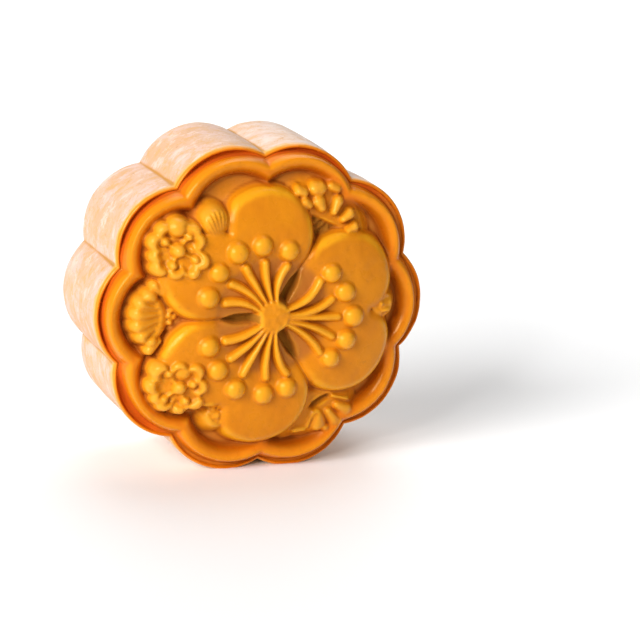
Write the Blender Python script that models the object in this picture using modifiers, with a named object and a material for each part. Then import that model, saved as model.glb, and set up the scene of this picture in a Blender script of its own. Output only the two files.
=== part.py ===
"""Lotus seed mooncake, a baked scalloped cake with a moulded flower on its face.

Metres, +Z up. The cake stands on its edge: the moulded face looks along -Y, the plain base
along +Y, and the origin is on the surface it stands on, under the middle of its box.

The cake is drawn lying on its base, in a pattern frame: +X to the right of the face, +Y to the
top of it, +Z out of it, with Z = 0 at the top edge of the wall. The finished cake is then stood up.
"""

import math

import bmesh
import bpy
from mathutils import Matrix

MM = 0.001

# The cake's body: a wall of lobes, each an arc round its own centre
ACROSS = 78.0 * MM  # over two opposite lobes
LOBES = 10
LOBE_ARC = 15.2 * MM
LOBE_STEPS = 10
WALL_DEPTH = 29.5 * MM
EDGE_ROUNDING = 0.8 * MM
RESTING_CUT = 0.3 * MM  # taken off the two lowest lobes, which the cake stands on

# The face is let in behind a thin lip, and a scalloped ridge follows the lip
LIP = 0.6 * MM
TRAY_DEPTH = 1.2 * MM
RIDGE_ARC = 12.0 * MM
RIDGE_RADIUS = 2.05 * MM
RIDGE_TOP = 2.3 * MM

# The floor of the face and the large petals' tops are domes, nearly flat in the middle
FLOOR_DOME = (3.4 * MM, -1.0 * MM, 31.0 * MM)  # middle height, edge height, edge radius
PETAL_DOME = (7.3 * MM, 4.0 * MM, 30.0 * MM)
DOME_POWER = 4
DOME_RINGS = 6
DOME_STEPS = 40

# The large flower of three heart-shaped petals
PETALS = 3
PETAL_LOBE_AT = (17.4 * MM, 7.2 * MM)
PETAL_LOBE_RADIUS = 11.9 * MM
PETAL_NOTCH_ARC = 7.0 * MM  # the tighter arc by which each lobe turns into the notch
PETAL_NOTCH_FROM = math.radians(-5)
PETAL_SIDE_END = math.radians(160)
PETAL_FOOT_HALF = 2.5 * MM

# The large flower's hub, stamens and their knobs
HUB_RADIUS = 3.6 * MM
HUB_TOP = 8.6 * MM
HUB_ROUNDING = 0.8 * MM
STAMENS_PER_PETAL = 5
STAMEN_SPREAD = math.radians(19.6)
STAMEN_RADII = (0.85 * MM, 0.65 * MM)
STAMEN_LIFT = 0.35 * MM
STAMEN_FALL = 0.3 * MM
STAMEN_BEND = 0.35 * MM
STAMEN_START = 2.6 * MM
STAMEN_GAP = 3.6 * MM  # from a stamen's tip to the middle of its knob
KNOB_RADIUS = 2.25 * MM
KNOB_TOP = 9.0 * MM
KNOB_AT = (18.3 * MM, 17.5 * MM, 16.2 * MM)  # the middle stamen's knob, its neighbours', the outer ones'

# The two small ruffled flowers, on the axes of two lobes, the lower one a mirror image
SMALL_FLOWER_ANGLE = math.radians(144)
SMALL_FLOWER_AT = 27.7 * MM
SMALL_FLOWER_RADIUS = 7.8 * MM
SMALL_FLOWER_TOP = 6.9 * MM
SMALL_FLOWER_TILT = math.radians(8)
RUFFLES = 8
RUFFLE = (2.0 * MM, 2.9 * MM)  # half its length along the flower's radius, and half its width
CUP_TOP = 5.0 * MM
TONGUES = 4
TONGUE_AT = 4.3 * MM
TONGUE_SIZE = (2.1 * MM, 1.3 * MM, 1.3 * MM)  # half sizes
SMALL_KNOB_RADIUS = 1.5 * MM
SMALL_KNOB_LIFT = 0.6 * MM
SMALL_STAMEN_TURN = math.radians(7)
SMALL_STAMEN_REACH = 3.7 * MM
SMALL_STAMEN_RADIUS = 0.5 * MM
SMALL_STAMEN_LIFT = 0.3 * MM
SMALL_TIP_RADIUS = 0.8 * MM

# The fans between the large petals, all of rounded petals: two have a drop on each petal
FAN_AT = 23.6 * MM
DROP_FAN_ANGLES = (math.radians(60), math.radians(300))
DROP_FAN_PETALS = 5
DROP_FAN_SPREAD = math.radians(67)  # to either side
DROP_FAN_RADIUS = 8.0 * MM
DROP_FAN_TOP = 3.6 * MM
DROP_FAN_PETAL_AT = 7.9 * MM
DROP_FAN_PETAL = (2.4 * MM, 2.5 * MM, 4.2 * MM)  # half its length, half its width, and its top
DROP_AT = 6.8 * MM
DROP_SIZE = (1.9 * MM, 1.1 * MM, 1.6 * MM)
DROP_TOP = 5.4 * MM
PLAIN_FAN_ANGLE = math.radians(180)
PLAIN_FAN_PETALS = 6
PLAIN_FAN_SPREAD = math.radians(62)
PLAIN_FAN_PETAL_AT = 5.4 * MM
PLAIN_FAN_PETAL = (4.6 * MM, 1.9 * MM, 4.9 * MM)

# A round bud behind each large petal's notch
BUD_AT = 26.0 * MM
BUD = (4.7 * MM, 4.7 * MM, 5.6 * MM)

SUNK = 1.5 * MM  # how far relief reaches below the wall's top edge
WELD = 0.002 * MM

LOBE_CENTRE = ACROSS / 2 - LOBE_ARC
HALF_LOBE = math.pi / LOBES
RESTING_HEIGHT = LOBE_CENTRE * math.cos(HALF_LOBE) + LOBE_ARC - RESTING_CUT


def clear_scene():
    for old in list(bpy.data.objects):
        bpy.data.objects.remove(old)


def collection(name):
    made = bpy.data.collections.new(name)
    bpy.context.scene.collection.children.link(made)
    return made


def add_object(name, mesh, into, place=Matrix()):
    """A mesh placed in a collection."""
    made = bpy.data.objects.new(name, mesh)
    made.matrix_world = place
    into.objects.link(made)
    return made


def turned(angle, distance=0.0, height=0.0):
    """A place at a distance from the middle, with its own X axis pointing outwards."""
    return Matrix.Rotation(angle, 4, "Z") @ Matrix.Translation((distance, 0, height))


def arc(centre, radius, start, end, steps):
    """Points along an arc, both ends included."""
    points = []
    for i in range(steps + 1):
        a = start + (end - start) * i / steps
        points.append((centre[0] + radius * math.cos(a), centre[1] + radius * math.sin(a)))
    return points


def scallop(arc_radius):
    """The closed outline of arcs round the lobes' centres, each ending at its valley."""
    reach = HALF_LOBE + math.asin(LOBE_CENTRE * math.sin(HALF_LOBE) / arc_radius)
    points = []
    for k in range(LOBES):
        axis = 2 * HALF_LOBE * k
        centre = (LOBE_CENTRE * math.cos(axis), LOBE_CENTRE * math.sin(axis))
        points += arc(centre, arc_radius, axis - reach, axis + reach, LOBE_STEPS)[:-1]
    return points


def mesh_from_curve(curve, name):
    """A curve's solid as a mesh with its caps welded."""
    holder = bpy.data.objects.new(name, curve)
    bpy.context.scene.collection.objects.link(holder)
    graph = bpy.context.evaluated_depsgraph_get()
    mesh = bpy.data.meshes.new_from_object(holder.evaluated_get(graph))
    bpy.data.objects.remove(holder)
    bpy.data.curves.remove(curve)
    made = bmesh.new()
    made.from_mesh(mesh)
    bmesh.ops.remove_doubles(made, verts=made.verts, dist=WELD)
    bmesh.ops.recalc_face_normals(made, faces=made.faces)
    made.to_mesh(mesh)
    made.free()
    return mesh


def plate_mesh(name, outline, bottom, top):
    """A flat outline with straight sides between two heights."""
    curve = bpy.data.curves.new(name, "CURVE")
    curve.dimensions = "2D"
    curve.fill_mode = "BOTH"
    curve.extrude = (top - bottom) / 2
    spline = curve.splines.new("POLY")
    spline.points.add(len(outline) - 1)
    for point, (x, y) in zip(spline.points, outline):
        point.co = (x, y, 0, 1)
    spline.use_cyclic_u = True
    mesh = mesh_from_curve(curve, name)
    mesh.transform(Matrix.Translation((0, 0, (top + bottom) / 2)))
    return mesh


def rod_mesh(name, points, radii, closed=False, resolution=1):
    """A round rod along points in space, its radius running evenly between two values."""
    curve = bpy.data.curves.new(name, "CURVE")
    curve.dimensions = "3D"
    curve.bevel_depth = 1.0
    curve.bevel_resolution = resolution
    curve.use_fill_caps = not closed
    spline = curve.splines.new("POLY")
    spline.points.add(len(points) - 1)
    for i, (point, at) in enumerate(zip(spline.points, points)):
        point.co = (*at, 1)
        point.radius = radii[0] + (radii[1] - radii[0]) * i / (len(points) - 1)
    spline.use_cyclic_u = closed
    return mesh_from_curve(curve, name)


def ball_mesh(name, size, segments=10, rings=6):
    """An ellipsoid with its three half sizes."""
    made = bmesh.new()
    bmesh.ops.create_uvsphere(made, u_segments=segments, v_segments=rings, radius=1.0)
    made.transform(Matrix.Diagonal((*size, 1)))
    mesh = bpy.data.meshes.new(name)
    made.to_mesh(mesh)
    made.free()
    return mesh


def disc_mesh(name, radius, bottom, top, segments=20):
    """A round plate between two heights."""
    made = bmesh.new()
    bmesh.ops.create_cone(
        made,
        cap_ends=True,
        segments=segments,
        radius1=radius,
        radius2=radius,
        depth=top - bottom,
    )
    made.transform(Matrix.Translation((0, 0, (top + bottom) / 2)))
    mesh = bpy.data.meshes.new(name)
    made.to_mesh(mesh)
    made.free()
    return mesh


def mound(name, size, into, place, segments=10):
    """Half an ellipsoid, widest at its foot: half its length, half its width, and its top."""
    along, across, top = size
    mesh = ball_mesh(name, (along, across, top + SUNK), segments)
    add_object(name, mesh, into, place @ Matrix.Translation((0, 0, -SUNK)))


def round_edges(thing, width, angle=math.radians(70)):
    """Rounds the edges that are sharper than an angle."""
    bevel = thing.modifiers.new("rounded edges", "BEVEL")
    bevel.width = width
    bevel.segments = 2
    bevel.limit_method = "ANGLE"
    bevel.angle_limit = angle
    apply_modifiers(thing)


def apply_modifiers(thing):
    """Puts an object's evaluated shape in place of its mesh and modifiers."""
    graph = bpy.context.evaluated_depsgraph_get()
    mesh = bpy.data.meshes.new_from_object(thing.evaluated_get(graph))
    thing.modifiers.clear()
    thing.data = mesh


def dome_height(dome, radius):
    """A dome's height at a distance from the middle."""
    middle, edge, edge_radius = dome
    return middle - (middle - edge) * (radius / edge_radius) ** DOME_POWER


def dome_object(name, dome, into):
    """A solid under a dome, turned from its profile and closed below."""
    edge_radius = dome[2]
    radii = [edge_radius * math.sqrt(i / DOME_RINGS) for i in range(DOME_RINGS + 1)]
    profile = [(r, 0, dome_height(dome, r)) for r in radii]
    profile.append((edge_radius, 0, -SUNK))
    profile.append((0, 0, -SUNK))
    mesh = bpy.data.meshes.new(name)
    mesh.from_pydata(profile, [(i, i + 1) for i in range(len(profile) - 1)], [])
    solid = add_object(name, mesh, into)
    screw = solid.modifiers.new("turned", "SCREW")
    screw.steps = DOME_STEPS
    screw.render_steps = DOME_STEPS
    screw.use_merge_vertices = True
    screw.merge_threshold = WELD
    apply_modifiers(solid)
    return solid


def crust_material():
    """Baked, glazed pastry."""
    material = bpy.data.materials.new("golden crust")
    material.use_nodes = True
    shader = material.node_tree.nodes["Principled BSDF"]
    shader.inputs["Base Color"].default_value = (0.72, 0.31, 0.05, 1)
    shader.inputs["Roughness"].default_value = 0.35
    shader.inputs["Metallic"].default_value = 0.0
    return material


def wall(into):
    """The scalloped block with rounded edges, from the plain base to the wall's top edge."""
    mesh = plate_mesh("mooncake", scallop(LOBE_ARC), -WALL_DEPTH, 0)
    block = add_object("mooncake", mesh, into)
    round_edges(block, EDGE_ROUNDING)
    return block


def ridge(into):
    """The scalloped ridge round the face."""
    height = RIDGE_TOP - RIDGE_RADIUS
    points = [(x, y, height) for x, y in scallop(RIDGE_ARC)]
    mesh = rod_mesh("ridge", points, (RIDGE_RADIUS, RIDGE_RADIUS), closed=True, resolution=2)
    add_object("ridge", mesh, into)


def tray_cutter(into):
    """What is taken out of the block behind the lip."""
    mesh = plate_mesh("tray cutter", scallop(LOBE_ARC - LIP), -TRAY_DEPTH, TRAY_DEPTH)
    add_object("tray cutter", mesh, into)


def petal_outline():
    """A heart: two lobes that meet in a notch, running in to a foot at the hub."""
    x, y = PETAL_LOBE_AT
    inset = PETAL_LOBE_RADIUS - PETAL_NOTCH_ARC
    tight_x = x + inset * math.cos(PETAL_NOTCH_FROM)
    tight_y = y + inset * math.sin(PETAL_NOTCH_FROM)
    notch_end = math.asin(-tight_y / PETAL_NOTCH_ARC)
    half = arc((tight_x, tight_y), PETAL_NOTCH_ARC, notch_end, PETAL_NOTCH_FROM, 6)[:-1]
    half += arc((x, y), PETAL_LOBE_RADIUS, PETAL_NOTCH_FROM, PETAL_SIDE_END, 11)
    half.append((PETAL_FOOT_HALF, PETAL_FOOT_HALF))
    mirrored = [(px, -py) for px, py in reversed(half)]
    return half + mirrored[:-1]


def petals(into):
    """The three large petals: upright hearts, cut off by one dome."""
    dome = dome_object("petal dome", PETAL_DOME, into)
    for k in range(PETALS):
        mesh = plate_mesh("petal", petal_outline(), -SUNK / 2, PETAL_DOME[0] + SUNK)
        petal = add_object("petal", mesh, into, turned(2 * math.pi * k / PETALS))
        trim = petal.modifiers.new("domed", "BOOLEAN")
        trim.operation = "INTERSECT"
        trim.object = dome
        apply_modifiers(petal)
    bpy.data.objects.remove(dome)


def hub(into):
    """The round middle of the large flower."""
    mesh = disc_mesh("hub", HUB_RADIUS, FLOOR_DOME[0] - SUNK, HUB_TOP)
    middle = add_object("hub", mesh, into)
    round_edges(middle, HUB_ROUNDING)


def stamens(into):
    """Tapered rods from the hub, each with a knob beyond its tip; the outer ones curve."""
    half = STAMENS_PER_PETAL // 2
    for k in range(PETALS):
        axis = 2 * math.pi * k / PETALS
        for i in range(-half, half + 1):
            stamen(into, axis + i * STAMEN_SPREAD, KNOB_AT[abs(i)], i)


def stamen(into, angle, knob_at, side):
    """One stamen and its knob; side counts from the petal's middle stamen."""
    tip = knob_at - STAMEN_GAP
    bend = -STAMEN_BEND * side
    level = PETAL_DOME[0] + STAMEN_LIFT
    middle = (STAMEN_START + tip) / 2
    points = [(STAMEN_START, 0, level), (middle, bend, level), (tip, 0, level - STAMEN_FALL)]
    add_object("stamen", rod_mesh("stamen", points, STAMEN_RADII), into, turned(angle))
    knob = ball_mesh("knob", (KNOB_RADIUS,) * 3)
    add_object("knob", knob, into, turned(angle, knob_at, KNOB_TOP - KNOB_RADIUS))


def small_flower(into, side):
    """A tilted cup of four petals with ruffled edges, a knob and a short stamen between each two.

    side is 1 for the upper flower and -1 for the lower one.
    """
    angle = side * SMALL_FLOWER_ANGLE
    place = turned(angle, SMALL_FLOWER_AT) @ Matrix.Rotation(SMALL_FLOWER_TILT, 4, "Y")
    ruffle_at = SMALL_FLOWER_RADIUS - RUFFLE[0]
    add_object("cup", disc_mesh("cup", ruffle_at, -SUNK, CUP_TOP), into, place)
    first = side * SMALL_STAMEN_TURN
    for k in range(RUFFLES):
        turn = first + 2 * math.pi * (k + 0.5) / RUFFLES
        mound("ruffle", (*RUFFLE, SMALL_FLOWER_TOP), into, place @ turned(turn, ruffle_at))
    knob = ball_mesh("small knob", (SMALL_KNOB_RADIUS,) * 3, 8, 6)
    add_object("small knob", knob, into, place @ turned(0, 0, CUP_TOP + SMALL_KNOB_LIFT))
    for k in range(TONGUES):
        turn = first + 2 * math.pi * k / TONGUES
        small_stamen(into, place @ turned(turn, 0, CUP_TOP + SMALL_STAMEN_LIFT))
        tongue = ball_mesh("tongue", TONGUE_SIZE, 8, 4)
        half_way = turn + math.pi / TONGUES
        add_object("tongue", tongue, into, place @ turned(half_way, TONGUE_AT, CUP_TOP))


def small_stamen(into, place):
    """A short rod from the small flower's knob, with a tip of its own."""
    points = [(SMALL_KNOB_RADIUS / 2, 0, 0), (SMALL_STAMEN_REACH, 0, 0)]
    rod = rod_mesh("small stamen", points, (SMALL_STAMEN_RADIUS, SMALL_STAMEN_RADIUS))
    add_object("small stamen", rod, into, place)
    tip = ball_mesh("small tip", (SMALL_TIP_RADIUS,) * 3, 6, 4)
    add_object("small tip", tip, into, place @ turned(0, SMALL_STAMEN_REACH))


def fan_turns(count, spread):
    """Evenly spaced directions across a fan."""
    return [spread * (1 - 2 * k / (count - 1)) for k in range(count)]


def drop_fan(into, angle):
    """A fan whose petals each carry a raised drop."""
    place = turned(angle, FAN_AT)
    base = disc_mesh("fan", DROP_FAN_RADIUS, -SUNK, DROP_FAN_TOP)
    add_object("fan", base, into, place)
    for turn in fan_turns(DROP_FAN_PETALS, DROP_FAN_SPREAD):
        mound("fan petal", DROP_FAN_PETAL, into, place @ turned(turn, DROP_FAN_PETAL_AT))
        drop = ball_mesh("drop", DROP_SIZE, 8, 6)
        at = place @ turned(turn, DROP_AT, DROP_TOP - DROP_SIZE[2])
        add_object("drop", drop, into, at)


def plain_fan(into, angle):
    """A fan of fat petals that run together at its foot."""
    place = turned(angle, FAN_AT)
    for turn in fan_turns(PLAIN_FAN_PETALS, PLAIN_FAN_SPREAD):
        mound("fan petal", PLAIN_FAN_PETAL, into, place @ turned(turn, PLAIN_FAN_PETAL_AT))


def buds(into):
    """A low round bud behind each large petal's notch."""
    for k in range(PETALS):
        mound("bud", BUD, into, turned(2 * math.pi * k / PETALS, BUD_AT), 14)


def fuse(body, others, operation):
    """Joins a collection to the body, or cuts it away, and drops the collection's objects."""
    change = body.modifiers.new(operation.lower(), "BOOLEAN")
    change.operation = operation
    change.operand_type = "COLLECTION"
    change.collection = others
    apply_modifiers(body)
    for thing in list(others.objects):
        bpy.data.objects.remove(thing)
    bpy.data.collections.remove(others)


def resting_cutter(into):
    """A block that takes the two lowest lobes down to small flats."""
    made = bmesh.new()
    bmesh.ops.create_cube(made, size=ACROSS)
    made.transform(Matrix.Translation((0, -RESTING_HEIGHT - ACROSS / 2, 0)))
    mesh = bpy.data.meshes.new("resting cutter")
    made.to_mesh(mesh)
    made.free()
    add_object("resting cutter", mesh, into)


def stand_up(cake):
    """Turns the face to -Y and puts the origin under the middle of the cake's box."""
    front = max(v.co.z for v in cake.data.vertices)
    depth_middle = (front - WALL_DEPTH) / 2
    upright = Matrix.Rotation(math.pi / 2, 4, "X")
    cake.data.transform(upright @ Matrix.Translation((0, 0, -depth_middle)))
    cake.location = (0, 0, RESTING_HEIGHT)


def main():
    clear_scene()
    finished = collection("lotus seed mooncake")
    relief = collection("relief")
    cutters = collection("cutters")
    cake = wall(finished)
    tray_cutter(cutters)
    resting_cutter(cutters)
    fuse(cake, cutters, "DIFFERENCE")
    dome_object("floor", FLOOR_DOME, relief)
    ridge(relief)
    petals(relief)
    hub(relief)
    stamens(relief)
    for side in (1, -1):
        small_flower(relief, side)
    for angle in DROP_FAN_ANGLES:
        drop_fan(relief, angle)
    plain_fan(relief, PLAIN_FAN_ANGLE)
    buds(relief)
    fuse(cake, relief, "UNION")
    stand_up(cake)
    cake.data.materials.clear()
    cake.data.materials.append(crust_material())
    cake.data.shade_smooth()
    cake.data.set_sharp_from_angle(angle=math.radians(35))


main()
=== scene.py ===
import math

import bpy
import numpy as np
from mathutils import Matrix, Vector


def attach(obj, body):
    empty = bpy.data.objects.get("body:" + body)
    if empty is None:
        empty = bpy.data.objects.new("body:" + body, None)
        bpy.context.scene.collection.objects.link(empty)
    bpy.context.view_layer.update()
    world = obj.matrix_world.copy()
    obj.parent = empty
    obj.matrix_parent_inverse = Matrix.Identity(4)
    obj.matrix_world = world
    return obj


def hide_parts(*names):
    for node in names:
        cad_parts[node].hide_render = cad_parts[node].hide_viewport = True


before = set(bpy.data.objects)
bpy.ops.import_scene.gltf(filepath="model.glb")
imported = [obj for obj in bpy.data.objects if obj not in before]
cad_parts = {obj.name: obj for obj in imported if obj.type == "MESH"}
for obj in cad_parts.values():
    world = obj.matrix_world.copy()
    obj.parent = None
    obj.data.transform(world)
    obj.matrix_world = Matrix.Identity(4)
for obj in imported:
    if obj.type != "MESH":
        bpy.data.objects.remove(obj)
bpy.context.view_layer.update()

# Sizes are in millimetres in the pattern frame: +X to the right of the face, +Y to its top,
# +Z out of it, with level 0 at the top edge of the wall. The finished mesh is stood up in metres.
MM = 0.001
BELOW = -9.0  # a level under everything, where a motif doesn't reach
HIGHEST = 9.0  # the top of the relief

# The wall has ten lobes. A lobe's arc is given by how far its centre lies from the middle of the
# cake, and by its radius.
WIDTH = 78.0
LOBES = 10
HALF_LOBE = math.pi / LOBES
LOBE_ARC = 15.2
LOBE_CENTRE = WIDTH / 2 - LOBE_ARC
WALL = (LOBE_CENTRE, LOBE_ARC)
WALL_DEPTH = 29.5
VALLEY_RADIUS = 36
FLAT_SPOT = 0.3  # how much the two lowest lobes are pressed flat
RESTING_HEIGHT = LOBE_CENTRE * math.cos(HALF_LOBE) + LOBE_ARC - FLAT_SPOT
FACE_LEVEL_Y = -10.25  # where level 0 lies along Y of the standing cake

# The ridge round the face, by the arcs of its inner foot, crest and outer foot
RIDGE_INNER = (22.9, 9.9)
RIDGE_CREST = (23.7, 12.3)
RIDGE_OUTER = (19.4, 18.0)
RIDGE_FILLET = 0.3
RIDGE_TOP = 2.3
TRAY_LEVEL = -1.15
LIP_INNER = 14.3
OPEN_SIDE = math.radians(136)  # the side where the groove behind the ridge is deep and open

# How far the lip and the ridge wander outwards from even lobes, at the middle of each lobe,
# counted from the one at 0 degrees
LIP_SHIFT = (0.1, 0.2, -0.35, -0.4, 0.0, 0.2, 0.4, 0.0, 0.1, 0.1)
RIDGE_SHIFT = (0.0, 0.0, 0.15, -0.2, 0.45, 0.75, -0.1, 0.0, 0.0, 0.0)

# Each row of the lip and the wall's upper edge: arc radius, level and region. A region runs from
# 0 on the face over 1 on the wall to 2 on the base.
LIP_ROWS = (
    (14.34, -0.6, 0.0), (14.41, -0.28, 0.0), (14.53, -0.07, 0.0), (14.7, 0.0, 0.0),
    (14.86, -0.05, 0.05), (15.01, -0.2, 0.12), (15.12, -0.42, 0.25), (15.19, -0.8, 0.45),
)
WALL_TOP_ROWS = (2.4, 2.9, 3.5, 4.3)
# Each row of the rounding at the base: how far it is drawn in, and its height above the base
BASE_EDGE_ROWS = ((0.08, 0.7), (0.3, 0.3), (0.75, 0.06), (1.2, 0.0))
# Each row of the base: its share of the way out, and what the number of columns is divided by
BASE_ROWS = ((0.93, 1), (0.85, 1), (0.75, 2), (0.62, 2), (0.5, 2), (0.37, 4), (0.25, 4), (0.12, 8))

# Columns of the mesh round the cake, fewer near the middle of the face, where the rows lie
# SPACING apart. The face is worked out first on a square grid, CELL apart, that reaches
# GRID_HALF each way. Noise repeats after LATTICE bumps.
COLUMNS = 720
SPACING = 0.28
CELL = 0.125
GRID_HALF = 41.0
LATTICE = 32


def soft_max(a, b, k):
    """The larger of two heights, with a fillet about k wide where they meet."""
    near = np.maximum(k - np.abs(a - b), 0.0) / k
    return np.maximum(a, b) + near * near * k / 4


def smoothstep(low, high, value):
    """A soft step from 0 at low to 1 at high."""
    t = np.clip((value - low) / (high - low), 0.0, 1.0)
    return t * t * (3 - 2 * t)


def round_profile(t):
    """The height of a half circle at a share of its radius, falling off steeply beyond it."""
    edge = 0.93
    low = math.sqrt(1 - edge * edge)
    inside = np.sqrt(np.clip(1 - t * t, 0.0, None))
    beyond = low - edge / low * (t - edge)
    return np.where(t < edge, inside, beyond) - 1.3 * np.maximum(t - 1.0, 0.0)


def edge_profile(inside, rounding, rise=None):
    """What a plateau loses near its edge: a rounding, then a steep side."""
    rise = rounding if rise is None else rise
    t = np.clip(1 - inside / rounding, 0.0, None)
    return rise * (round_profile(t) - 1)


def value_noise(points, scale, seed):
    """Smooth noise from -1 to 1 at points in millimetres, with bumps about one scale apart."""
    table = np.random.default_rng(seed).random((LATTICE, LATTICE, LATTICE))
    p = points / scale + 1000.0
    cell = np.floor(p).astype(int)
    f = p - cell
    f = f * f * (3 - 2 * f)
    total = np.zeros(len(points))
    for dx in (0, 1):
        wx = f[:, 0] if dx else 1 - f[:, 0]
        for dy in (0, 1):
            wy = f[:, 1] if dy else 1 - f[:, 1]
            for dz in (0, 1):
                wz = f[:, 2] if dz else 1 - f[:, 2]
                corner = (cell + (dx, dy, dz)) % LATTICE
                total += wx * wy * wz * table[corner[:, 0], corner[:, 1], corner[:, 2]]
    return 2 * total - 1


def off_axis(angle, count=LOBES):
    """The angle from the nearest of a number of even axes."""
    step = 2 * math.pi / count
    return angle - step * np.round(angle / step)


def folded(x, y, count):
    """Distance from the middle, and the angle from the nearest of a number of even axes."""
    return np.hypot(x, y), off_axis(np.arctan2(y, x), count)


def polar(r, degrees):
    """A point at a distance and an angle."""
    return (r * math.cos(math.radians(degrees)), r * math.sin(math.radians(degrees)))


def arc_reach(arc, off):
    """How far out a lobe's arc lies, at an angle off the lobe's axis."""
    centre, radius = arc
    return centre * np.cos(off) + np.sqrt(radius**2 - (centre * np.sin(off)) ** 2)


def inside_arcs(arc, r, off):
    """How far inside the lobes' arcs a point is; negative outside them."""
    centre, radius = arc
    other = 2 * HALF_LOBE - np.abs(off)
    own = radius - np.hypot(r * np.cos(off) - centre, r * np.sin(off))
    next_one = radius - np.hypot(r * np.cos(other) - centre, r * np.sin(other))
    return soft_max(own, next_one, RIDGE_FILLET)


def to_segment(x, y, start, end):
    """Where along a line each point is nearest to it, from 0 to 1, and its distance from there."""
    (ax, ay), (bx, by) = start, end
    ex, ey = bx - ax, by - ay
    t = np.clip(((x - ax) * ex + (y - ay) * ey) / (ex * ex + ey * ey), 0, 1)
    return t, np.hypot(x - ax - t * ex, y - ay - t * ey)


def inside_polygon(x, y, outline):
    """Signed distance to a closed outline, positive inside it."""
    nearest = np.full(x.shape, 1e9)
    inside = np.zeros(x.shape, dtype=bool)
    for start, end in zip(outline, outline[1:] + outline[:1]):
        nearest = np.minimum(nearest, to_segment(x, y, start, end)[1])
        (ax, ay), (bx, by) = start, end
        if ay != by:
            crosses = (ay > y) != (by > y)
            inside ^= crosses & (x < ax + (y - ay) * (bx - ax) / (by - ay))
    return np.where(inside, nearest, -nearest)


def with_discs(inside, x, y, discs, fillet, grow=0.0):
    """How far inside a shape a point is, once discs of x, y and radius are joined to the shape."""
    for px, py, radius in discs:
        inside = soft_max(inside, radius + grow - np.hypot(x - px, y - py), fillet)
    return inside


def rod(x, y, points, radii, tops, rise):
    """A rounded ridge along points: its half widths and tops are spread evenly from end to end."""
    height = np.full(x.shape, BELOW)
    count = len(points) - 1
    reach = max(radii) * 2.2
    xs, ys = zip(*points)
    near = (x > min(xs) - reach) & (x < max(xs) + reach)
    near &= (y > min(ys) - reach) & (y < max(ys) + reach)
    if not near.any():
        return height
    x, y = x[near], y[near]
    best = np.full(x.shape, BELOW)
    for i in range(count):
        t, d = to_segment(x, y, points[i], points[i + 1])
        share = (i + t) / count
        radius = np.interp(share, np.linspace(0, 1, len(radii)), radii)
        top = np.interp(share, np.linspace(0, 1, len(tops)), tops)
        best = np.maximum(best, top + rise * (round_profile(d / radius) - 1))
    height[near] = best
    return height


def ball(x, y, at, radius, top, rise=None):
    """A round knob."""
    d = np.hypot(x - at[0], y - at[1])
    rise = radius if rise is None else rise
    return np.maximum(top + rise * (round_profile(d / radius) - 1), BELOW)


def bent(start, middle, end):
    """Points of a curve that leaves start, passes middle half way and comes to end."""
    steps = 8
    control = [2 * m - (s + e) / 2 for s, m, e in zip(start, middle, end)]
    points = []
    for i in range(steps + 1):
        t = i / steps
        a, b, c = (1 - t) ** 2, 2 * t * (1 - t), t * t
        points.append(tuple(a * s + b * m + c * e for s, m, e in zip(start, control, end)))
    return points


def openness(angle):
    """How open the groove is round the face: 1 on its open side, 0 on the other."""
    return smoothstep(0.25, 0.75, 0.5 + 0.5 * np.cos(angle - OPEN_SIDE))


def shifted(angle, shifts):
    """A shift that is given at the middle of each lobe, blended from lobe to lobe."""
    lobe = np.mod(angle / (2 * HALF_LOBE), LOBES)
    first = np.floor(lobe).astype(int) % LOBES
    share = smoothstep(0.0, 1.0, lobe - np.floor(lobe))
    table = np.array(shifts)
    return table[first] * (1 - share) + table[(first + 1) % LOBES] * share


def lip_level(angle):
    """The level of the lip, which has sunk on the groove's open side."""
    return -0.35 - 0.9 * openness(angle)


def ridge_place(x, y):
    """Distance from the middle less the ridge's wandering there, and the angle off the axis."""
    r, off = folded(x, y, LOBES)
    wander = shifted(np.arctan2(y, x), RIDGE_SHIFT)
    return r - wander * smoothstep(28.0, 32.0, r), off


def ridge_height(x, y):
    """The scalloped ridge: a steep inner side, a round shoulder, and a narrow groove behind it."""
    r, off = ridge_place(x, y)
    wide = openness(np.arctan2(y, x))
    middle = smoothstep(HALF_LOBE * 0.95, HALF_LOBE * 0.35, np.abs(off))
    inner = inside_arcs(RIDGE_INNER, r, off)
    crest = inside_arcs(RIDGE_CREST, r, off)
    outer = inside_arcs(RIDGE_OUTER, r, off) - 0.15 - 0.3 * wide
    inward = np.where(crest > 0, crest / np.maximum(crest - inner, 1e-6), 0.0)
    outward = np.where(crest < 0, -crest / np.maximum(outer - crest, 1e-6), 0.0)
    inward = np.where(inner > 0, 1.0, np.clip(inward, 0, 1))
    outward = np.where(outer < 0, 1.0, np.clip(outward, 0, 1))
    foot = TRAY_LEVEL - 0.3
    shoulder = -0.1 - 0.35 * wide
    groove = -0.9 - 1.7 * wide * (0.25 + 0.75 * middle)
    inside = foot + (RIDGE_TOP - TRAY_LEVEL + 0.3) * np.clip(1 - inward**2.5, 0, 1) ** 0.58
    outside = RIDGE_TOP + (shoulder - RIDGE_TOP) * np.clip(outward / 0.74, 0, 1) ** 2.1
    outside = outside + (groove - shoulder) * smoothstep(0.72, 0.92, outward)
    height = np.where(crest > 0, inside, outside)
    return np.where(inner > 0, height - 2.5 * np.maximum(inner, 0), height)


def groove_depth(x, y, z):
    """How far a place has sunk into the open groove behind the ridge, from 0 to 1."""
    r, off = ridge_place(x, y)
    behind = smoothstep(-0.3, -0.8, inside_arcs(RIDGE_CREST, r, off))
    open_here = smoothstep(0.1, 0.6, openness(np.arctan2(y, x)))
    return behind * smoothstep(-0.45, -1.05, z) * open_here


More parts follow.
